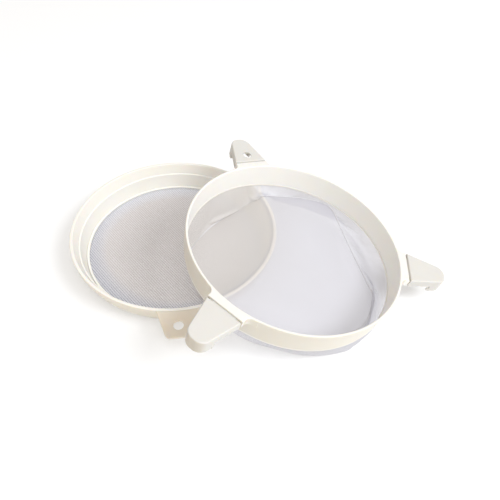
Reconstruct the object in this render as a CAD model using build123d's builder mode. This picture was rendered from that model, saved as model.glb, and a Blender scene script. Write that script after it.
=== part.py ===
"""Double sieve strainer for honey: a coarse sieve lying flat, and a fine sieve with a
cloth bag and three hooked arms that leans over the coarse sieve's rim.

Origin: bottom centre of the whole set's box.  +X to the right, +Y away, +Z up, millimetres.
"""
from build123d import *
import os

os.makedirs("parts", exist_ok=True)

# ---------------------------------------------------------------- driving dimensions
hoop_radius = 120.0            # both hoops are 240 mm across the rim

# coarse sieve
coarse_x, coarse_y = -93.3, 31.7
coarse_height = 34.0
coarse_wall = 1.8
coarse_lip = 3.5               # width of the flat lip on top
lip_round = 0.8
flange_depth = 7.0             # the band under the lip that sits on the fine sieve's rim
flange_draft = 0.7
flange_chamfer = 0.6
nest_radius = 116.4            # below the flange the hoop slips into the fine sieve
skirt_radius = 115.2
skirt_depth = 20.0
channel_height = 6.0           # open groove between the skirt and the inner wall
band_top_radius = 116.0        # upper sloping band inside
band_top_depth = 1.2
band_low_radius = 112.0
ledge_radius = 110.6           # small step between the two bands
ledge_depth = 12.4
ledge_drop = 0.6
throat_radius = 106.3          # inside wall where the mesh starts
base_radius = 107.6
base_round = 0.7
shelf_radius = 103.5
shelf_height = 2.0
mesh_thickness = 0.8
mesh_slope_width = 14.0        # sloping edge zone of the mesh dish
mesh_dish_depth = 1.4
bead_height = 1.5
bead_round = 1.0
fit_gap = 0.1
near = 0.1                     # how close counts as lying on a plane or a circle

# hanging tab of the coarse sieve
tab_azimuth = -79.7
tab_slope = 5.0                # degrees down towards its end
tab_thickness = 2.5
tab_reach = 149.4              # radius at the tab's end
tab_root = 119.0               # radius inside the hoop's face where the tab is joined on
tab_root_half = 21.5
tab_end_half = 12.5
tab_corner = 6.0
tab_root_fillet = 4.0
tab_flare = 32.25              # half the width of the tab's root with its fillets
tab_edge_round = 0.8
tab_hole_reach = 135.8
tab_hole_radius = 5.2

# fine sieve: pose of its rim plane
fine_x, fine_y, fine_z = 46.7, -8.3, 69.1
fine_tip_x, fine_tip_y = -0.52, 10.96      # degrees about X and Y: its right side is low
fine_depth = 27.3
fine_top_radius = 119.8
fine_inner_top = 117.2
fine_rim_round = 1.0
fine_bottom_radius = 117.9
fine_inner_bottom = 115.8
fine_ring_depth = 29.8         # the retaining ring's underside
fine_ring_radius = 117.4
fine_ring_inner = 115.3
ring_round = 0.5

# arms of the fine sieve, in radii from its axis
arm_azimuths = {"front": -123.6, "right": -3.6, "back": 116.4}
arm_taper = 0.244              # each side comes in by this much for each mm outwards
collar_reach = 126.2           # the hoop's own stub ends here
collar_half = 20.5
collar_fillet = 7.0
collar_root = 118.2            # the stub starts inside the hoop's wall
collar_flare = 31.0            # half the width of the stub with its fillets
arm_start = 127.8
arm_start_half = 20.1
arm_reach = 170.0
arm_tip_fillet = 11.0
arm_edge_round = 1.4
arm_wall = 2.0
arm_side_wall = 3.0            # thicker where the arm meets the hoop's stub
arm_skirt_depth = 9.0
hook_start = 155.5
hook_depth = 16.0
barb_length = 1.8
barb_height = 3.0
tongue_start = 121.5
tongue_half = 14.0
arm_hole_reach = 139.5
arm_hole_radius = 5.0

# cloth bag of the fine sieve
cloth = 1.0                    # stand-in thickness of the cloth
bag_top_radius = 116.9
bag_floor_radius = 107.5
bag_depth = 41.4
bag_over_rim = 34.5            # the cloth crosses the coarse rim at this height
bag_rim_radius = 121.3
bag_ridge_radius = 115.5
bag_sag_height = 20.0          # and hangs to this height inside the coarse sieve
bag_sag_radius = 60.0
bag_foot_radius = 200.0        # outside it the cloth slopes down and meets the ground here
foot_steps = 2                 # the gentle slope moves outwards this many times the cloth's thickness

# ---------------------------------------------------------------- planes and axes
coarse_axis = Axis((coarse_x, coarse_y, 0), (0, 0, 1))
coarse_section = Plane((coarse_x, coarse_y, 0), x_dir=(1, 0, 0), z_dir=(0, -1, 0))

fine_place = Location((fine_x, fine_y, fine_z), (fine_tip_x, fine_tip_y, 0))
fine_top = Plane(fine_place)
fine_axis = Axis(fine_top.origin, fine_top.z_dir)
fine_section = Plane(fine_top.origin, x_dir=fine_top.x_dir, z_dir=-fine_top.y_dir)


def save(builder, name):
    """Labels a finished piece and writes its STEP file."""
    builder.part.label = name
    export_step(builder.part, f"parts/{name}.step")


def is_outer_top_edge(edge):
    """True for an edge in the fine sieve's rim plane, on a collar's sides and not inside the hoop."""
    middle = fine_top.to_local_coords(edge @ 0.5)
    in_plane = abs(middle.Z) < near
    return in_plane and (middle.X**2 + middle.Y**2) ** 0.5 > fine_top_radius - near


# ---------------------------------------------------------------- coarse sieve: hoop
ledge_height = coarse_height - ledge_depth
flange_bottom = coarse_height - flange_depth
skirt_bottom = coarse_height - skirt_depth
skirt_inner = skirt_radius - coarse_wall
ledge_point = (ledge_radius, ledge_height - ledge_drop)

with BuildPart() as coarse_hoop:
    with BuildSketch(coarse_section) as hoop_profile:
        with BuildLine():
            Polyline(
                (hoop_radius - coarse_lip, coarse_height),
                (hoop_radius, coarse_height),
                (hoop_radius - flange_draft, flange_bottom),
                (nest_radius, flange_bottom - flange_chamfer),
                (skirt_radius, skirt_bottom),
                (skirt_inner, skirt_bottom),
                (skirt_inner + flange_chamfer, skirt_bottom + channel_height),
                (ledge_radius + coarse_wall, skirt_bottom + channel_height),
                (base_radius + flange_draft, shelf_height),
                (base_radius, 0),
                (shelf_radius, 0),
                (shelf_radius, shelf_height),
                (throat_radius, shelf_height),
                ledge_point,
                (band_low_radius, ledge_height),
                (band_top_radius, coarse_height - band_top_depth),
                close=True,
            )
        make_face()
        fillet(hoop_profile.vertices().group_by(Axis.Y)[-1], radius=lip_round)
        fillet(hoop_profile.vertices().sort_by_distance(ledge_point)[0], radius=lip_round)
        fillet(hoop_profile.vertices().sort_by_distance((base_radius, 0))[0], radius=base_round)
    revolve(axis=coarse_axis)
save(coarse_hoop, "coarse_hoop")

# ---------------------------------------------------------------- coarse sieve: hanging tab
tab_place = Location((coarse_x, coarse_y, coarse_height - lip_round), (0, 0, tab_azimuth))
tab_length = tab_reach - hoop_radius
tab_top = Plane(tab_place * Location((hoop_radius, 0, 0), (0, tab_slope, 0)))


def is_past_tab_root(edge):
    """True for an edge of the tab's top face, but not for the arc where it is joined on."""
    return tab_top.to_local_coords(edge @ 0.5).X > tab_root - hoop_radius + near


with BuildPart() as coarse_tab:
    with BuildSketch(tab_top) as tab_outline:
        with Locations((-hoop_radius, 0)):
            Circle(hoop_radius - lip_round)
        with BuildLine():
            Polyline(
                (-tab_length, 2 * tab_root_half - tab_end_half),
                (tab_length, tab_end_half),
                (tab_length, -tab_end_half),
                (-tab_length, tab_end_half - 2 * tab_root_half),
                close=True,
            )
        make_face()
        fillet(tab_outline.vertices().group_by(Axis.X)[-1], radius=tab_corner)
        beside_tab = tab_outline.vertices().filter_by_position(Axis.X, -tab_corner, 0)
        fillet(beside_tab, radius=tab_root_fillet)
        with Locations((-hoop_radius, 0)):
            Circle(tab_root, mode=Mode.SUBTRACT)
        with Locations((tab_length, 0)):
            Rectangle(2 * tab_length + tab_corner, 2 * tab_flare, mode=Mode.INTERSECT)
    extrude(amount=-tab_thickness)
    tab_face = coarse_tab.faces().sort_by(Axis(tab_top.origin, tab_top.z_dir))[-1]
    tab_rim = tab_face.outer_wire().edges()
    fillet(tab_rim.filter_by(is_past_tab_root), radius=tab_edge_round)
    with Locations(tab_top):
        with Locations((tab_hole_reach - hoop_radius, 0)):
            Hole(radius=tab_hole_radius)
    add(coarse_hoop.part, mode=Mode.SUBTRACT)
save(coarse_tab, "coarse_tab")

# ---------------------------------------------------------------- coarse sieve: mesh and bead ring
mesh_top = shelf_height + mesh_thickness
slope_end = shelf_radius - mesh_slope_width

with BuildPart() as coarse_mesh:
    with BuildSketch(coarse_section):
        with BuildLine():
            Polyline(
                (0, mesh_top - mesh_dish_depth),
                (slope_end, mesh_top - mesh_dish_depth),
                (shelf_radius, mesh_top),
                (throat_radius - fit_gap, mesh_top),
                (throat_radius - fit_gap, shelf_height),
                (shelf_radius, shelf_height),
                (slope_end, shelf_height - mesh_dish_depth),
                (0, shelf_height - mesh_dish_depth),
                close=True,
            )
        make_face()
    revolve(axis=coarse_axis)
save(coarse_mesh, "coarse_mesh")

bead_corner = (shelf_radius, mesh_top + bead_height)

with BuildPart() as coarse_retaining_ring:
    with BuildSketch(coarse_section) as bead:
        with BuildLine():
            Polyline(
                (shelf_radius, mesh_top),
                (throat_radius, mesh_top),
                (throat_radius, mesh_top + bead_height),
                (shelf_radius, mesh_top + bead_height),
                close=True,
            )
        make_face()
        fillet(bead.vertices().sort_by_distance(bead_corner)[0], radius=bead_round)
    revolve(axis=coarse_axis)
save(coarse_retaining_ring, "coarse_retaining_ring")

# ---------------------------------------------------------------- fine sieve: hoop with three collars
collar_width = 2 * collar_half
collar_length = 2 * (collar_reach - collar_root)

with BuildPart() as collars:
    for azimuth in arm_azimuths.values():
        arm_top = Plane(fine_place * Location((0, 0, 0), (0, 0, azimuth)))
        with BuildSketch(arm_top) as collar_outline:
            Circle(fine_top_radius)
            with Locations((collar_reach / 2, 0)):
                Rectangle(collar_reach, collar_width)
            roots = collar_outline.vertices().filter_by_position(Axis.X, collar_half, fine_top_radius)
            fillet(roots, radius=collar_fillet)
            Circle(collar_root, mode=Mode.SUBTRACT)
            with Locations((collar_reach, 0)):
                Rectangle(collar_length + collar_fillet, 2 * collar_flare, mode=Mode.INTERSECT)
        extrude(amount=-arm_skirt_depth)
    rim_edges = [e for e in collars.edges() if is_outer_top_edge(e)]
    fillet(rim_edges, radius=fine_rim_round)

with BuildPart() as fine_hoop:
    with BuildSketch(fine_section) as wall_profile:
        with BuildLine():
            Polyline(
                (fine_inner_top, 0),
                (fine_top_radius, 0),
                (fine_bottom_radius, -fine_depth),
                (fine_inner_bottom, -fine_depth),
                close=True,
            )
        make_face()
        fillet(wall_profile.vertices().group_by(Axis.Y)[-1], radius=fine_rim_round)
    revolve(axis=fine_axis)
    add(collars.part)
    for azimuth in arm_azimuths.values():
        socket_top = Plane(fine_place * Location((0, 0, -arm_wall), (0, 0, azimuth)))
        with BuildSketch(socket_top):
            with Locations((collar_reach, 0)):
                Rectangle(collar_length, collar_width - 2 * arm_wall)
            Circle(fine_top_radius, mode=Mode.SUBTRACT)
        extrude(amount=-arm_skirt_depth, mode=Mode.SUBTRACT)
save(fine_hoop, "fine_hoop")

# ---------------------------------------------------------------- fine sieve: hooked arms
arm_end_half = arm_start_half - arm_taper * (arm_reach - arm_start)
hook_start_half = arm_start_half - arm_taper * (hook_start - arm_start)

for side, azimuth in arm_azimuths.items():
    arm_top = Plane(fine_place * Location((0, 0, 0), (0, 0, azimuth)))
    with BuildPart() as arm:
        for start, start_half, depth in (
            (arm_start, arm_start_half, arm_skirt_depth),
            (hook_start, hook_start_half, hook_depth),
        ):
            with BuildSketch(arm_top) as arm_outline:
                with BuildLine():
                    Polyline(
                        (start, start_half),
                        (arm_reach, arm_end_half),
                        (arm_reach, -arm_end_half),
                        (start, -start_half),
                        close=True,
                    )
                make_face()
                fillet(arm_outline.vertices().group_by(Axis.X)[-1], radius=arm_tip_fillet)
            extrude(amount=-depth)
        top_edges = arm.edges().filter_by(lambda e: abs(arm_top.to_local_coords(e @ 0.5).Z) < near)
        fillet(top_edges, radius=arm_edge_round)
        with BuildSketch(arm_top.offset(-arm_wall)) as hollow:
            with BuildLine():
                Polyline(
                    (arm_start + arm_wall, arm_start_half - arm_side_wall),
                    (arm_reach - arm_wall, arm_end_half - arm_wall),
                    (arm_reach - arm_wall, arm_wall - arm_end_half),
                    (arm_start + arm_wall, arm_side_wall - arm_start_half),
                    close=True,
                )
            make_face()
            fillet(hollow.vertices().group_by(Axis.X)[-1], radius=arm_tip_fillet - arm_wall)
        extrude(amount=-hook_depth, mode=Mode.SUBTRACT)
        with BuildSketch(arm_top.offset(-arm_wall)):
            with Locations(((tongue_start + arm_start) / 2, 0)):
                Rectangle(arm_start - tongue_start, 2 * tongue_half)
        extrude(amount=-arm_wall)
        with BuildSketch(arm_top.offset(barb_height - hook_depth)):
            for sign in (1, -1):
                with Locations((hook_start, sign * (hook_start_half - arm_wall / 2))):
                    Rectangle(2 * barb_length, arm_wall)
        extrude(amount=-barb_height)
        if side == "back":
            with Locations(arm_top):
                with Locations((arm_hole_reach, 0)):
                    Hole(radius=arm_hole_radius, depth=2 * arm_wall)
    save(arm, f"fine_arm_{side}")

# ---------------------------------------------------------------- fine sieve: ring under the hoop
with BuildPart() as fine_retaining_ring:
    with BuildSketch(fine_section) as ring_profile:
        with BuildLine():
            Polyline(
                (fine_ring_inner, -fine_depth),
                (fine_ring_radius, -fine_depth),
                (fine_ring_radius, -fine_ring_depth),
                (fine_ring_inner, -fine_ring_depth),
                close=True,
            )
        make_face()
        fillet(ring_profile.vertices().group_by(Axis.X)[0], radius=ring_round)
    revolve(axis=fine_axis)
save(fine_retaining_ring, "fine_retaining_ring")

# ---------------------------------------------------------------- fine sieve: cloth bag
# The bag is a shell: a tapered bag cut off by the ground and pushed up by the coarse rim.
bag_bottom = fine_ring_depth + bag_depth
box_side = 4 * hoop_radius


def bag_body(inset):
    """The space inside the bag's outer face, drawn in by inset on every side but the open top."""
    with BuildPart() as body:
        with BuildSketch(fine_section):
            with BuildLine():
                Polyline(
                    (0, inset - fine_ring_depth),
                    (bag_top_radius - inset, inset - fine_ring_depth),
                    (bag_floor_radius - inset, inset - bag_bottom),
                    (0, inset - bag_bottom),
                    close=True,
                )
            make_face()
        revolve(axis=fine_axis)
        with BuildSketch(Plane.XY.offset(inset)):
            Rectangle(box_side, box_side)
        extrude(amount=-box_side, mode=Mode.SUBTRACT)
        with BuildSketch(coarse_section):
            with BuildLine():
                Polyline(
                    (0, 0),
                    (bag_foot_radius + foot_steps * inset, 0),
                    (bag_rim_radius + inset, bag_over_rim + inset),
                    (bag_ridge_radius, bag_over_rim + inset),
                    (bag_sag_radius, bag_sag_height + inset),
                    (0, bag_sag_height + inset),
                    close=True,
                )
            make_face()
        revolve(axis=coarse_axis, mode=Mode.SUBTRACT)
    return body.part


bag_shell = bag_body(0) - bag_body(cloth)
seam_cylinder = fine_place * Cylinder(bag_floor_radius - cloth, box_side)

with BuildPart() as fine_bag_wall:
    add(bag_shell - seam_cylinder)
save(fine_bag_wall, "fine_bag_wall")

with BuildPart() as fine_bag_floor:
    add(bag_shell & seam_cylinder)
save(fine_bag_floor, "fine_bag_floor")
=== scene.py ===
"""Looks of the double sieve strainer: cloth bag, woven mesh, plastics, light and camera."""
import math

import bpy
import numpy as np
from mathutils import Matrix, Vector


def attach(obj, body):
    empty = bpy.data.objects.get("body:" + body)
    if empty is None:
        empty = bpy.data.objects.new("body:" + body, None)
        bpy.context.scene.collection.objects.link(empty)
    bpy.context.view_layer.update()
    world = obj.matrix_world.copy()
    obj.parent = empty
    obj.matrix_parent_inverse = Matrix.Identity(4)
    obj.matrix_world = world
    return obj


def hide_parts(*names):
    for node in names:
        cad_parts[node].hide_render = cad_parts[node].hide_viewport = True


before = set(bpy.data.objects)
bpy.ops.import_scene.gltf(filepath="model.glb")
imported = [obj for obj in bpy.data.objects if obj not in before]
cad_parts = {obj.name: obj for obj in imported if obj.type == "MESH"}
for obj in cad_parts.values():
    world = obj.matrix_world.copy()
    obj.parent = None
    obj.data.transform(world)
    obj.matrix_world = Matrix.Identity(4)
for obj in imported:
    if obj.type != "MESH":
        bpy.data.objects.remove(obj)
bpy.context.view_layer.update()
MM = 0.001
tiny = 1e-9                    # keeps a division by a length from failing

# ---------------------------------------------------------------- sizes of the model, mm
coarse_centre = np.array([-93.3, 31.7])
coarse_height = 34.0
rim_middle = 118.2             # radius of the middle of the coarse rim
inner_z = [0, 2.8, 21.0, 21.6, 32.8, 34.0]          # section of the coarse hoop: its inner face
inner_r = [103.5, 106.3, 110.6, 112.0, 116.0, 116.5]
outer_z = [0, 13.9, 26.4, 27.0, 34.0]               # and its outer face, as radii at heights
outer_r = [107.6, 115.2, 116.4, 119.3, 120.0]
mesh_edge = 103.5
mesh_rim = 106.0
mesh_slope_end = 89.5
mesh_level = 2.4               # middle of the weave at its edge
mesh_dish = 1.4
warp_pitch = 2.45              # stiff straight threads,
warp_radius = 0.42
weft_pitch = 1.0               # and thin ones that bend over and under them
weft_radius = 0.18
weave_half = warp_radius + weft_radius
warp_direction = -44.5         # degrees about the upright
weft_direction = 45.5
pitch_spread = 0.02            # how unevenly the threads lie, as a share of their pitch
thread_sides = 6

fine_origin = np.array([46.7, -8.3, 69.1])
fine_tips = (-0.52, 10.96)
bag_top_depth = 29.2
bag_top_radius = 116.3
bag_height = 42.0
bag_floor_radius = 107.5
bag_slant = math.hypot(bag_height, bag_top_radius - bag_floor_radius)
nylon_pitch = 0.55
seam_radius = 0.55             # of the thread along the seam
seam_rise = 0.5                # and how far its middle lies above the cloth

# ---------------------------------------------------------------- how the cloth is worked out
bag_step = 5.0                 # size of the first, coarse triangles, mm
cloth_lift = 62.0              # height from which the bag is let down, mm
start_noise = 0.15             # unevenness of the cloth before it is let down, mm
first_steps = 1800             # of letting the bag down
first_rounds = 30              # and of smoothing it then
finer_rounds = ((200, 16), (60, 10))                # steps and smoothing each time it is cut finer
time_step = 1 / 300            # seconds
damping = 0.02                 # share of the speed lost in a step
grip = 0.35                    # share of a slip held back by friction
floor_weight = 200.0           # weight against stiffness, mm/s2: the floor of the bag is taut
wall_weight = 900.0            # and its slack wall settles on the ground,
wall_spread = 450.0            # springing outwards at the low side, where it is slack
first_gap = 0.9                # between the cloth and what it lies on, while it is let down,
fine_gap = 0.7                 # and once its triangles are cut smaller, mm
seam_gap = 1.0                 # between the seam's line and what it lies on, mm
seam_hold = 0.1                # how strongly the seam is led to its line in each step
seam_rounds = 3                # rounds of smoothing for a seam line
seam_count = 130               # of this many points
let_down = 0.7                 # share of the steps in which the bag is let down
led_from = 0.45                # share of the steps after which the seam is led to its line
led_ramp = 0.3                 # and in which that grows to its full strength
crest_bend = 0.06              # rounded crest under the cloth along the coarse rim: its curvature,
crest_reach = 8                # how far it goes to either side of the middle of the rim, mm,
crest_depth = 4                # and how deep under it a point is still lifted onto it, mm


def turn(axis, degrees):
    return np.array(Matrix.Rotation(math.radians(degrees), 3, axis))


fine_turn = turn("X", fine_tips[0]) @ turn("Y", fine_tips[1])


def fine_to_row(points):
    """Points in the fine sieve's rim plane frame, in the row frame, mm."""
    return fine_origin + np.asarray(points) @ fine_turn.T


# Where the seam round the bag's floor comes to rest, clockwise from the left: azimuth about the
# fine sieve's axis, radius from it, and height above the ground.
seam_rest = [
    (-180, 108, 21), (168, 109, 19.5), (151, 107, 16.5), (141, 107, 15.5), (129, 107, 17.5),
    (116, 108, 26), (110, 107.5, 33), (106, 107, 35.3), (95, 107, 31.5), (80, 110, 30),
    (67, 115, 27.5), (60, 114.5, 26.5), (38.5, 96, 15), (22, 92, 10), (9.5, 94.5, 7),
    (-3, 100.5, 4.5), (-13, 111, 3), (-33, 110, 1.5), (-46.5, 102, 1.2), (-60, 99, 1.2),
    (-80, 97, 1.2), (-101, 94, 1.2), (-115, 94, 3), (-125, 98, 12), (-133, 101, 24),
    (-140.5, 105, 35.3), (-148, 106.5, 28), (-165, 107.5, 22),
]


def seam_places(count):
    """The seam's resting line, clear of the coarse hoop, as count points at equal distances in the
    order of the bag's own angle."""
    line = []
    for azimuth, radius, height in seam_rest:
        a = math.radians(azimuth)
        x, y = radius * math.cos(a), radius * math.sin(a)
        above = fine_origin[2] + fine_turn[2, 0] * x + fine_turn[2, 1] * y - height
        line.append(fine_to_row((x, y, -(above / fine_turn[2, 2]))))
    line = np.array(line + line[:1])
    run = np.concatenate([[0], np.cumsum(np.linalg.norm(np.diff(line, axis=0), axis=1))])
    share = (0.5 - np.arange(count) / count) % 1.0
    places = np.column_stack([np.interp(share * run[-1], run, line[:, k]) for k in range(3)])
    for _ in range(round(seam_rounds * (count / seam_count) ** 2)):
        places = (np.roll(places, 1, 0) + 2 * places + np.roll(places, -1, 0)) / 4
    return keep_out(places.copy(), places, seam_gap, 0.0)


# ---------------------------------------------------------------- mesh helpers
def mesh_object(name, points_mm, faces, uv=None, smooth=True):
    mesh = bpy.data.meshes.new(name)
    mesh.from_pydata((np.asarray(points_mm) * MM).tolist(), [], [list(map(int, f)) for f in faces])
    if uv is not None:
        layer = mesh.uv_layers.new(name="weave")
        loops = np.empty(len(mesh.loops), dtype=np.int32)
        mesh.loops.foreach_get("vertex_index", loops)
        layer.data.foreach_set("uv", np.asarray(uv)[loops].astype(np.float32).ravel())
    mesh.polygons.foreach_set("use_smooth", [smooth] * len(mesh.polygons))
    mesh.update()
    thing = bpy.data.objects.new(name, mesh)
    bpy.context.scene.collection.objects.link(thing)
    return thing


def tubes(lines, radius, closed=False):
    """Vertices and faces of round threads along several polylines, given as (n, 3) arrays."""
    points, faces, start = [], [], 0
    for line in lines:
        n = len(line)
        if closed:
            tangent = np.roll(line, -1, 0) - np.roll(line, 1, 0)
        else:
            tangent = np.gradient(line, axis=0)
        tangent /= np.linalg.norm(tangent, axis=1)[:, None]
        side = np.cross(tangent, (0, 0, 1))
        side /= np.linalg.norm(side, axis=1)[:, None] + tiny
        up = np.cross(side, tangent)
        for k in range(thread_sides):
            a = 2 * math.pi * (k + 0.5) / thread_sides
            points.append(line + radius * (math.cos(a) * side + math.sin(a) * up))
        ids = start + np.arange(n * thread_sides).reshape(thread_sides, n)
        last = n if closed else n - 1
        for k in range(thread_sides):
            here, there = ids[k], ids[(k + 1) % thread_sides]
            i = np.arange(last)
            j = (i + 1) % n
            faces.append(np.stack([here[i], here[j], there[j], there[i]], 1))
        start += n * thread_sides
    return np.concatenate(points), np.concatenate(faces)


# ---------------------------------------------------------------- coarse sieve: woven mesh
def mesh_height(radius):
    """Middle of the weave, mm above the ground: a shallow dish with a sloping edge."""
    return mesh_level - mesh_dish * np.clip((mesh_edge - radius) / (mesh_edge - mesh_slope_end), 0, 1)


def weave(direction, pitch, cross_pitch, radius, wave, seed):
    """The threads of one direction, each going up and down by wave where it crosses the others."""
    rng = np.random.default_rng(seed)
    angle = math.radians(direction)
    along = np.array([math.cos(angle), math.sin(angle)])
    across = np.array([-math.sin(angle), math.cos(angle)])
    count = int(mesh_rim / pitch)
    lines = []
    for i in range(-count, count + 1):
        offset = i * pitch + rng.normal(0, pitch_spread * pitch)
        half = math.sqrt(max(mesh_rim**2 - offset**2, 0))
        steps = int(half / cross_pitch)
        if steps < 2:
            continue
        turns = np.arange(-steps - 1, steps + 2)
        place = np.clip(turns * cross_pitch, -half, half)
        flat = coarse_centre + along * place[:, None] + across * offset
        over = np.where((turns + i) % 2, 1, -1) * wave
        lines.append(np.column_stack([flat, mesh_height(np.hypot(place, offset)) + over]))
    return tubes(lines, radius)


warp_threads = weave(warp_direction, warp_pitch, weft_pitch, warp_radius, wave=0.0, seed=1)
weft_threads = weave(weft_direction, weft_pitch, warp_pitch, weft_radius, wave=weave_half, seed=2)
warp = mesh_object("coarse_weave_warp", *warp_threads)
weft = mesh_object("coarse_weave_weft", *weft_threads)
for piece in (warp, weft):
    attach(piece, "coarse_sieve")
    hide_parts("coarse_mesh")


# ---------------------------------------------------------------- fine sieve: cloth bag
def bag_rest(step):
    """The bag as sewn, hanging free: points in the fine frame, faces, weave coordinates, counts."""
    rings = round(bag_floor_radius / step)
    bottom = -bag_top_depth - bag_height
    points, cut, rows = [(0, 0, bottom)], [(0, 0)], [np.array([0])]
    for k in range(1, rings + 1):
        n = 6 * k
        a = 2 * math.pi * np.arange(n) / n
        r = bag_floor_radius * k / rings
        rows.append(len(points) + np.arange(n))
        points += [(r * math.cos(t), r * math.sin(t), bottom) for t in a]
        cut += [(r * math.cos(t), r * math.sin(t)) for t in a]
    faces = []
    for inner, outer in zip(rows, rows[1:]):
        m, n, i, j = len(inner), len(outer), 0, 0
        if m == 1:
            faces += [(0, outer[q], outer[(q + 1) % n]) for q in range(n)]
            continue
        while i < m or j < n:
            if j < n and (i >= m or (j + 1) * m <= (i + 1) * n):
                faces.append((inner[i % m], outer[j % n], outer[(j + 1) % n]))
                j += 1
            else:
                faces.append((inner[i % m], outer[j % n], inner[(i + 1) % m]))
                i += 1
    floor_faces = len(faces)
    n = 6 * rings
    walls = round(bag_slant / step)
    below = rows[-1]
    for k in range(1, walls + 1):
        up = k / walls
        r = bag_floor_radius + (bag_top_radius - bag_floor_radius) * up
        a = 2 * math.pi * (np.arange(n) + 0.5 * (k % 2)) / n
        above = len(points) + np.arange(n)
        z = -bag_top_depth - bag_height * (1 - up)
        points += [(r * math.cos(t), r * math.sin(t), z) for t in a]
        cut += [(bag_floor_radius * t, bag_slant * up) for t in a]
        for q in range(n):
            p = (q + 1) % n
            if k % 2:
                faces += [(below[q], above[q], below[p]), (below[p], above[q], above[p])]
            else:
                faces += [(below[q], above[q], above[p]), (below[q], above[p], below[p])]
        below = above
    return np.array(points, float), np.array(faces), np.array(cut, float), floor_faces, below, rows[-1]


def links(faces):
    """The edges, and for each inner edge the two points facing each other across it."""
    sides = np.concatenate([faces[:, [0, 1]], faces[:, [1, 2]], faces[:, [2, 0]]])
    tips = np.concatenate([faces[:, 2], faces[:, 0], faces[:, 1]])
    sides.sort(axis=1)
    order = np.lexsort((sides[:, 1], sides[:, 0]))
    sides, tips = sides[order], tips[order]
    same = np.all(sides[1:] == sides[:-1], axis=1)
    first = np.concatenate([[True], ~same])
    across = np.column_stack([tips[:-1][same], tips[1:][same]])
    return sides[first], across


def batches(pairs):
    """Splits pairs of points into groups in which no point comes twice."""
    used = np.zeros(pairs.max() + 1, dtype=object)
    colour = np.empty(len(pairs), dtype=int)
    for k, (a, b) in enumerate(pairs.tolist()):
        taken = used[a] | used[b]
        c = (~taken & (taken + 1)).bit_length() - 1
        colour[k] = c
        used[a] |= 1 << c
        used[b] |= 1 << c
    return [np.nonzero(colour == c)[0] for c in range(colour.max() + 1)]


def keep_out(x, before, gap, grip):
    """Pushes points out of the ground, the coarse weave and the coarse hoop, and holds back a
    share of their slip over it."""
    touching = np.zeros(len(x), bool)
    flat = x[:, :2] - coarse_centre
    r = np.hypot(flat[:, 0], flat[:, 1]) + tiny
    floor = np.where(r < mesh_edge, mesh_height(r) + weave_half, 0.0) + gap
    low = x[:, 2] < floor
    x[low, 2] = floor[low]
    touching |= low
    crest = coarse_height + gap - crest_bend * (r - rim_middle) ** 2
    near = np.abs(r - rim_middle) < crest_reach
    over = near & (x[:, 2] < crest) & (x[:, 2] > crest - crest_depth)
    x[over, 2] = crest[over]
    touching |= over
    z = x[:, 2]
    inner = np.interp(z, inner_z, inner_r) - gap
    outer = np.interp(z, outer_z, outer_r) + gap
    inside = (r > inner) & (r < outer) & (z < coarse_height + gap)
    if inside.any():
        i = np.nonzero(inside)[0]
        up = coarse_height + gap - z[i]
        out = outer[i] - r[i]
        back = r[i] - inner[i]
        least = np.minimum(np.minimum(up, out), back)
        unit = flat[i] / r[i][:, None]
        move = np.where(out == least, out, np.where(back == least, -back, 0.0))
        lift = np.where((up == least) & (up <= out) & (up <= back), up, 0.0)
        move = np.where(lift > 0, 0.0, move)
        x[i, :2] += unit * move[:, None]
        x[i, 2] += lift
        touching[i] = True
    slip = x[touching] - before[touching]
    x[touching, :2] -= grip * slip[:, :2]
    return x


def relax(x, faces, rest_points, pinned, steps, gap, lift=0.0, seam=None):
    """Cloth under its own weight, by position based dynamics in small steps.  The pinned points go
    down by lift, and the seam, if one is given, is led to its line."""
    edges, across = links(faces)
    length = np.linalg.norm(rest_points[edges[:, 0]] - rest_points[edges[:, 1]], axis=1)
    spread = np.linalg.norm(rest_points[across[:, 0]] - rest_points[across[:, 1]], axis=1)
    groups = [(edges[g, 0], edges[g, 1], length[g]) for g in batches(edges)]
    groups += [(across[g, 0], across[g, 1], spread[g]) for g in batches(across)]
    weight = np.ones(len(x))
    weight[pinned] = 0.0
    prepared = []
    for a, b, rest in groups:
        total = weight[a] + weight[b]
        keep = total > 0
        a, b, rest, total = a[keep], b[keep], rest[keep], total[keep]
        prepared.append((a, b, rest, weight[a] / total, weight[b] / total))
    anchor = x[pinned].copy()
    start = anchor[:, 2].copy()
    speed = np.zeros_like(x)
    is_wall = rest_points[:, 2] > rest_points[:, 2].min() + 1
    heavy = np.where(is_wall, wall_weight, floor_weight)
    places = seam_places(len(seam)) if seam is not None else None
    outward = rest_points[:, :2] / (np.linalg.norm(rest_points[:, :2], axis=1)[:, None] + tiny)
    outward *= np.where(is_wall, wall_spread * np.clip(outward[:, 0], 0, 1), 0.0)[:, None]
    for step in range(steps):
        before = x.copy()
        speed[:, 2] -= heavy * time_step
        speed[:, :2] += outward * time_step
        x = x + speed * time_step
        t = min(1.0, (step + 1) / (let_down * steps))
        anchor[:, 2] = start - lift * t * t * (3 - 2 * t)
        x[pinned] = anchor
        for a, b, rest, wa, wb in prepared:
            d = x[a] - x[b]
            size = np.sqrt(np.einsum("ij,ij->i", d, d)) + tiny
            pull = ((size - rest) / size)[:, None] * d
            x[a] -= wa[:, None] * pull
            x[b] += wb[:, None] * pull
        if seam is not None:
            led = seam_hold * min(1.0, max(0.0, (step / steps - led_from) / led_ramp))
            x[seam] += led * (places - x[seam])
        x = keep_out(x, before, gap, grip)
        x[pinned] = anchor
        speed = (x - before) / time_step * (1 - damping)
    return x


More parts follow.
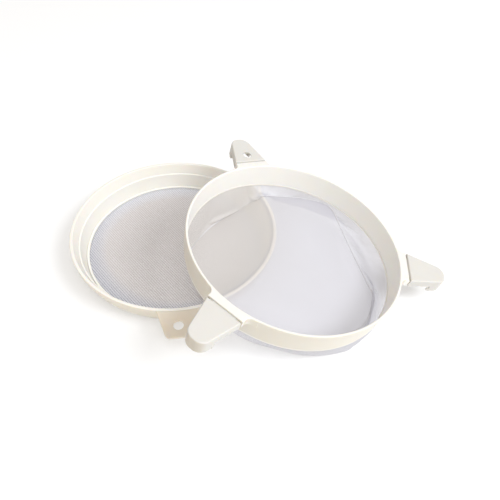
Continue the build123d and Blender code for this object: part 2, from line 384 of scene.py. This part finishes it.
def calm(x, faces, fixed, rounds, gap):
    """Evens out the small creases, leaving the large folds."""
    edges, _ = links(faces)
    ends = np.concatenate([edges[:, 0], edges[:, 1]])
    others = np.concatenate([edges[:, 1], edges[:, 0]])
    number = np.bincount(ends, minlength=len(x))[:, None]
    for _ in range(rounds):
        before = x.copy()
        mean = np.column_stack([np.bincount(ends, x[others, k], len(x)) for k in range(3)]) / number
        x = x + 0.5 * (mean - x)
        x[fixed] = before[fixed]
        x = keep_out(x, before, gap, 0.0)
        x[fixed] = before[fixed]
    return x


def finer(x, rest_points, cut, faces, floor_faces, top, seam):
    """Cuts each triangle in four, and gives back the same seven things for the finer cloth."""
    edges, _ = links(faces)
    n = len(x)
    name = {(a, b): n + k for k, (a, b) in enumerate(edges.tolist())}
    new_faces = []
    for a, b, c in faces.tolist():
        ab = name[min(a, b), max(a, b)]
        bc = name[min(b, c), max(b, c)]
        ca = name[min(c, a), max(c, a)]
        new_faces += [(a, ab, ca), (ab, b, bc), (ca, bc, c), (ab, bc, ca)]

    def with_middles(v):
        return np.concatenate([v, (v[edges[:, 0]] + v[edges[:, 1]]) / 2])

    def ring(ids):
        out = []
        for a, b in zip(ids, np.roll(ids, -1)):
            out += [a, name[min(a, b), max(a, b)]]
        return np.array(out)

    return (with_middles(x), with_middles(rest_points), with_middles(cut), np.array(new_faces),
            4 * floor_faces, ring(top), ring(seam))


rest_points, faces, cut, floor_faces, top, seam = bag_rest(bag_step)
bag = fine_to_row(rest_points) + (0, 0, cloth_lift)
rng = np.random.default_rng(7)
bag += rng.normal(0, start_noise, bag.shape)
bag[top] = fine_to_row(rest_points[top]) + (0, 0, cloth_lift)
bag = relax(bag, faces, rest_points, top, first_steps, first_gap, lift=cloth_lift, seam=seam)
bag[seam] = seam_places(len(seam))
wall_points = faces[floor_faces:].ravel()
bag = calm(bag, faces, np.unique(np.concatenate([seam, wall_points])), first_rounds, first_gap)
for steps, rounds in finer_rounds:
    cloth = finer(bag, rest_points, cut, faces, floor_faces, top, seam)
    bag, rest_points, cut, faces, floor_faces, top, seam = cloth
    bag[seam] = seam_places(len(seam))
    ends = np.concatenate([top, seam])
    still = np.unique(np.concatenate([top, faces[:floor_faces].ravel()]))
    bag = calm(bag, faces, ends, rounds, fine_gap)
    bag = relax(bag, faces, rest_points, still, steps, fine_gap)
    bag = calm(bag, faces, ends, rounds // 2, fine_gap)


def part_of_bag(name, chosen):
    used = np.unique(chosen)
    number = np.full(len(bag), -1)
    number[used] = np.arange(len(used))
    return mesh_object(name, bag[used], number[chosen], uv=cut[used])


bag_floor = part_of_bag("bag_floor_cloth", faces[:floor_faces])
bag_wall = part_of_bag("bag_wall_cloth", faces[floor_faces:])
seam_tube = tubes([bag[seam] + (0, 0, seam_rise)], seam_radius, closed=True)
bag_seam = mesh_object("bag_seam", *seam_tube)
for piece, node in ((bag_floor, "fine_bag_floor"), (bag_wall, "fine_bag_wall"), (bag_seam, None)):
    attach(piece, "fine_sieve")
    if node:
        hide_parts(node)


# ---------------------------------------------------------------- materials
class Nodes:
    """A new node material, with short ways to add and join nodes."""

    def __init__(self, name):
        self.material = bpy.data.materials.new(name)
        self.material.use_nodes = True
        self.tree = self.material.node_tree
        self.tree.nodes.clear()

    def add(self, kind, **settings):
        node = self.tree.nodes.new(kind)
        for key, value in settings.items():
            if hasattr(node, key) and key not in node.inputs:
                setattr(node, key, value)
            else:
                node.inputs[key].default_value = value
        return node

    def join(self, source, output, target, socket):
        self.tree.links.new(source.outputs[output], target.inputs[socket])


def plastic(name, light, dark, rough, grain, glow):
    """Moulded plastic: the colour clouds between light and dark, the gloss varies about rough, grain
    is the scale of its fine skin, and glow is how much light spreads inside it."""
    m = Nodes(name)
    place = m.add("ShaderNodeTexCoord")
    cloud = m.add("ShaderNodeTexNoise", Scale=14.0, Detail=3.0)
    tint = m.add("ShaderNodeMix", data_type="RGBA")
    tint.inputs["A"].default_value = (*light, 1)
    tint.inputs["B"].default_value = (*dark, 1)
    gloss = m.add("ShaderNodeTexNoise", Scale=60.0, Detail=4.0)
    gloss_range = m.add("ShaderNodeMapRange")
    gloss_range.inputs["To Min"].default_value = rough - 0.06
    gloss_range.inputs["To Max"].default_value = rough + 0.08
    skin = m.add("ShaderNodeTexNoise", Scale=grain, Detail=2.0)
    bump = m.add("ShaderNodeBump", Strength=0.12, Distance=0.0002)
    shader = m.add("ShaderNodeBsdfPrincipled", IOR=1.49)
    shader.inputs["Subsurface Weight"].default_value = glow
    shader.inputs["Subsurface Radius"].default_value = (1.0, 0.75, 0.45)
    shader.inputs["Subsurface Scale"].default_value = 0.004
    out = m.add("ShaderNodeOutputMaterial")
    for node in (cloud, gloss, skin):
        m.join(place, "Object", node, "Vector")
    m.join(cloud, "Fac", tint, "Factor")
    m.join(tint, "Result", shader, "Base Color")
    m.join(gloss, "Fac", gloss_range, "Value")
    m.join(gloss_range, "Result", shader, "Roughness")
    m.join(skin, "Fac", bump, "Height")
    m.join(bump, "Normal", shader, "Normal")
    m.join(shader, "BSDF", out, "Surface")
    return m.material


def tint_where(material, colour, first, full, centre=None, facing=None, outward=False):
    """Turns a material's colour to another one as a measure grows from first to full: the radius
    about an upright axis in mm, that radius as far as the face looks outward, or how much the
    face looks along a direction."""
    tree = material.node_tree
    place = next(n for n in tree.nodes if n.type == "TEX_COORD")
    shader = next(n for n in tree.nodes if n.type == "BSDF_PRINCIPLED")
    measure = tree.nodes.new("ShaderNodeVectorMath")
    if facing is None:
        away = tree.nodes.new("ShaderNodeVectorMath")
        away.operation = "SUBTRACT"
        away.inputs[1].default_value = (centre[0] * MM, centre[1] * MM, 0)
        flat = tree.nodes.new("ShaderNodeVectorMath")
        flat.operation = "MULTIPLY"
        flat.inputs[1].default_value = (1 / MM, 1 / MM, 0)
        tree.links.new(place.outputs["Object"], away.inputs[0])
        tree.links.new(away.outputs["Vector"], flat.inputs[0])
        tree.links.new(flat.outputs["Vector"], measure.inputs[0])
    else:
        measure.inputs[0].default_value = facing
    if facing is None and not outward:
        measure.operation = "LENGTH"
    else:
        measure.operation = "DOT_PRODUCT"
        tree.links.new(place.outputs["Normal"], measure.inputs[1])
    share = tree.nodes.new("ShaderNodeMapRange")
    share.inputs["From Min"].default_value = first
    share.inputs["From Max"].default_value = full
    tint = tree.nodes.new("ShaderNodeMix")
    tint.data_type = "RGBA"
    tint.inputs["B"].default_value = (*colour, 1)
    old = shader.inputs["Base Color"].links[0].from_socket
    tree.links.new(measure.outputs["Value"], share.inputs["Value"])
    tree.links.new(share.outputs["Result"], tint.inputs["Factor"])
    tree.links.new(old, tint.inputs["A"])
    tree.links.new(tint.outputs["Result"], shader.inputs["Base Color"])


cream = plastic("cream_plastic", (0.90, 0.87, 0.805), (0.88, 0.84, 0.765), 0.3, 900.0, 0.3)
bowl = plastic("cream_plastic_bowl", (0.885, 0.865, 0.815), (0.865, 0.84, 0.78), 0.3, 900.0, 0.3)
# Painted shade: the coarse hoop's outward-facing faces are painted tan, standing in for the shade they
# lie in.
tint_where(bowl, (0.80, 0.74, 0.63), 40.0, 80.0, centre=coarse_centre, outward=True)
# Fine hoop: a lighter copy of the cream as painted light for its lit inner walls, with painted shade: tan
# on its outward faces and darker on the faces that look up along its axis.
hoop_painted_light_shade = plastic("cream_plastic_painted_light_shade", (0.96, 0.94, 0.89), (0.94, 0.915, 0.86), 0.3, 900.0, 0.3)
tint_where(hoop_painted_light_shade, (0.76, 0.72, 0.63), 30.0, 60.0, centre=fine_origin, outward=True)
tint_where(hoop_painted_light_shade, (0.84, 0.82, 0.775), 0.85, 0.97, facing=fine_turn[:, 2])
# Painted shade: the tab is a darker tan copy of the cream, standing in for the shadow of the fine sieve's
# front arm over it.
tab_painted_shade = plastic("cream_plastic_tab", (0.76, 0.69, 0.585), (0.73, 0.66, 0.55), 0.35, 900.0, 0.3)
matte_painted_shade = plastic("arm_plastic", (0.70, 0.685, 0.65), (0.665, 0.65, 0.61), 0.55, 1500.0, 0.2)
# Painted shade: the outward-facing ends of the arms are painted tan, standing in for the shade on them.
tint_where(matte_painted_shade, (0.64, 0.59, 0.50), 80.0, 150.0, centre=fine_origin, outward=True)
thread = plastic("coarse_thread", (0.69, 0.645, 0.635), (0.63, 0.585, 0.57), 0.65, 3000.0, 0.0)
# Painted light: the sloping edge zone of the weave is painted pale bluish, standing in for how light
# falls on that slope.
tint_where(thread, (0.67, 0.67, 0.715), 83.0, 101.0, centre=coarse_centre)
# Painted shadow: a dark crescent along the lower-left edge of the weave, standing in for the shadow of
# the coarse hoop's wall.
tint_where(thread, (0.38, 0.38, 0.435), 104.0, 132.0, centre=coarse_centre + (15, 20))


bowl_light_from = rim_middle + 2.0   # radius from which the cloth is painted warmer and lighter inwards, as painted light from the coarse sieve showing through,
bowl_light_full = rim_middle - 8.0   # and at which it is
rim_highlight_from = 2.8              # the same for the painted pale highlight along the crease over the rim, from the middle of the rim
rim_highlight_full = 0.8


def nylon(name, plain, bowl_light_colour):
    """Fine plain weave: see-through gaps between threads that let light through.  Where it lies in the
    coarse sieve it is painted warmer and lighter, as painted light from that sieve showing through, with
    a painted pale highlight along the crease over that sieve's rim."""
    m = Nodes(name)
    uv = m.add("ShaderNodeUVMap", uv_map="weave")
    split = m.add("ShaderNodeSeparateXYZ")
    m.join(uv, "UV", split, "Vector")
    waves = []
    for axis in "XY":
        scale = m.add("ShaderNodeMath", operation="MULTIPLY")
        scale.inputs[1].default_value = math.pi / nylon_pitch
        m.join(split, axis, scale, 0)
        sine = m.add("ShaderNodeMath", operation="SINE")
        m.join(scale, "Value", sine, 0)
        size = m.add("ShaderNodeMath", operation="ABSOLUTE")
        m.join(sine, "Value", size, 0)
        waves.append(size)
    hole = m.add("ShaderNodeMath", operation="MINIMUM")
    m.join(waves[0], "Value", hole, 0)
    m.join(waves[1], "Value", hole, 1)
    gap = m.add("ShaderNodeMapRange", interpolation_type="SMOOTHSTEP")
    gap.inputs["From Min"].default_value = 0.45
    gap.inputs["From Max"].default_value = 0.8
    gap.inputs["To Min"].default_value = 0.17
    gap.inputs["To Max"].default_value = 0.46
    m.join(hole, "Value", gap, "Value")
    bump = m.add("ShaderNodeBump", Strength=0.35, Distance=0.00015, invert=True)
    m.join(hole, "Value", bump, "Height")
    diffuse = m.add("ShaderNodeBsdfPrincipled", Roughness=0.5)
    place = m.add("ShaderNodeTexCoord")
    away = m.add("ShaderNodeVectorMath", operation="SUBTRACT")
    away.inputs[1].default_value = (*(coarse_centre * MM), 0)
    flat = m.add("ShaderNodeVectorMath", operation="MULTIPLY")
    flat.inputs[1].default_value = (1, 1, 0)
    radius = m.add("ShaderNodeVectorMath", operation="LENGTH")
    beside = m.add("ShaderNodeMath", operation="SUBTRACT")
    beside.inputs[1].default_value = rim_middle * MM
    apart = m.add("ShaderNodeMath", operation="ABSOLUTE")
    within = m.add("ShaderNodeMapRange", interpolation_type="SMOOTHSTEP")
    within.inputs["From Min"].default_value = bowl_light_from * MM
    within.inputs["From Max"].default_value = bowl_light_full * MM
    # Painted light: a warmer, lighter colour where the cloth lies in the coarse sieve.
    used = m.add("ShaderNodeMix", data_type="RGBA")
    used.inputs["A"].default_value = (*plain, 1)
    used.inputs["B"].default_value = (*bowl_light_colour, 1)
    # Painted highlight: a pale line along the cloth's crease over the coarse rim.
    crease = m.add("ShaderNodeMapRange", interpolation_type="SMOOTHSTEP")
    crease.inputs["From Min"].default_value = rim_highlight_from * MM
    crease.inputs["From Max"].default_value = rim_highlight_full * MM
    tint = m.add("ShaderNodeMix", data_type="RGBA")
    tint.inputs["B"].default_value = (0.86, 0.83, 0.80, 1)
    m.join(place, "Object", away, 0)
    m.join(away, "Vector", flat, 0)
    m.join(flat, "Vector", radius, 0)
    m.join(radius, "Value", beside, 0)
    m.join(beside, "Value", apart, 0)
    m.join(apart, "Value", crease, "Value")
    m.join(crease, "Result", tint, "Factor")
    m.join(radius, "Value", within, "Value")
    m.join(within, "Result", used, "Factor")
    m.join(used, "Result", tint, "A")
    m.join(tint, "Result", diffuse, "Base Color")
    diffuse.inputs["Sheen Weight"].default_value = 0.15
    through = m.add("ShaderNodeBsdfTranslucent")
    through.inputs["Color"].default_value = (0.84, 0.82, 0.84, 1)
    thread_mix = m.add("ShaderNodeMixShader", Fac=0.36)
    clear = m.add("ShaderNodeBsdfTransparent")
    mix = m.add("ShaderNodeMixShader")
    out = m.add("ShaderNodeOutputMaterial")
    m.join(bump, "Normal", diffuse, "Normal")
    m.join(bump, "Normal", through, "Normal")
    m.join(diffuse, "BSDF", thread_mix, 1)
    m.join(through, "BSDF", thread_mix, 2)
    m.join(gap, "Result", mix, "Fac")
    m.join(thread_mix, "Shader", mix, 1)
    m.join(clear, "BSDF", mix, 2)
    m.join(mix, "Shader", out, "Surface")
    return m.material


# Painted light: the wall's cloth is a lighter copy of the floor's cloth colour, standing in for light on
# the wall.
bag_floor.data.materials.append(nylon("nylon_floor", (0.625, 0.625, 0.68), (0.88, 0.855, 0.825)))
bag_wall.data.materials.append(nylon("nylon_wall", (0.73, 0.735, 0.795), (0.89, 0.865, 0.835)))
seam_thread = plastic("seam_thread", (0.70, 0.69, 0.71), (0.66, 0.65, 0.67), 0.5, 3000.0, 0.0)
bag_seam.data.materials.append(seam_thread)
for piece in (warp, weft):
    piece.data.materials.append(thread)
part_looks = {"fine_hoop": hoop_painted_light_shade, "coarse_hoop": bowl, "coarse_tab": tab_painted_shade}
for name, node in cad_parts.items():
    node.data.materials.clear()
    node.data.materials.append(matte_painted_shade if name.startswith("fine_arm") else part_looks.get(name, cream))

# ---------------------------------------------------------------- floor, light and camera
floor_half = 6000              # half the side of the floor, mm
floor_level = -0.2             # just under the lowest point of the model, mm
corners = [(x * floor_half, y * floor_half, floor_level) for x, y in ((-1, -1), (1, -1), (1, 1), (-1, 1))]
ground = mesh_object("studio_floor", corners, [(0, 1, 2, 3)], smooth=False)
paper = Nodes("studio_floor")
paper_shader = paper.add("ShaderNodeBsdfPrincipled", Roughness=0.9)
paper_shader.inputs["Base Color"].default_value = (0.66, 0.66, 0.66, 1)
paper_shader.inputs["Emission Color"].default_value = (1, 1, 1, 1)
paper_shader.inputs["Emission Strength"].default_value = 0.32
paper_out = paper.add("ShaderNodeOutputMaterial")
paper.join(paper_shader, "BSDF", paper_out, "Surface")
ground.data.materials.append(paper.material)

world = bpy.data.worlds.new("studio")
bpy.context.scene.world = world
world.use_nodes = True
sky = world.node_tree
facing = sky.nodes.new("ShaderNodeTexCoord")
toward = sky.nodes.new("ShaderNodeVectorMath")
toward.operation = "DOT_PRODUCT"
toward.inputs[1].default_value = (0.55, -0.35, 0.76)      # the side on which the sky is brightest
sky_range = sky.nodes.new("ShaderNodeMapRange")
sky_range.inputs["From Min"].default_value = -0.1
sky_tint = sky.nodes.new("ShaderNodeMix")
sky_tint.data_type = "RGBA"
sky_tint.inputs["A"].default_value = (0.42, 0.375, 0.32, 1)
sky_tint.inputs["B"].default_value = (0.76, 0.755, 0.74, 1)
sky.links.new(facing.outputs["Generated"], toward.inputs[0])
sky.links.new(toward.outputs["Value"], sky_range.inputs["Value"])
sky.links.new(sky_range.outputs["Result"], sky_tint.inputs["Factor"])
sky.links.new(sky_tint.outputs["Result"], sky.nodes["Background"].inputs["Color"])
sky.nodes["Background"].inputs["Strength"].default_value = 1.0


def lamp(name, azimuth, elevation, distance, size, power):
    light = bpy.data.lights.new(name, "AREA")
    light.shape = "DISK"
    light.size = size
    light.energy = power
    light.color = (0.94, 0.96, 1.0)
    thing = bpy.data.objects.new(name, light)
    a, e = math.radians(azimuth), math.radians(elevation)
    direction = Vector((math.cos(a) * math.cos(e), math.sin(a) * math.cos(e), math.sin(e)))
    thing.location = direction * distance
    thing.rotation_euler = direction.to_track_quat("Z", "Y").to_euler()
    bpy.context.scene.collection.objects.link(thing)


lamp("key", azimuth=-22, elevation=48, distance=4.0, size=1.7, power=82)
lamp("front", azimuth=-75, elevation=68, distance=4.0, size=2.2, power=44)

camera = bpy.data.cameras.new("camera")
camera.lens = 33.76
camera.sensor_width = 36
viewer = bpy.data.objects.new("camera", camera)
right = Vector((0.99776, 0.05022, 0.04430))
up = Vector((-0.06697, 0.74822, 0.66002))
back = Vector((0, -0.6615, 0.7499))
spot = Vector((-3.05, -351.16, 434.36)) * MM
viewer.matrix_world = Matrix.Translation(spot) @ Matrix((right, up, back)).transposed().to_4x4()
bpy.context.scene.collection.objects.link(viewer)
bpy.context.scene.camera = viewer
bpy.context.scene.view_settings.view_transform = "Standard"
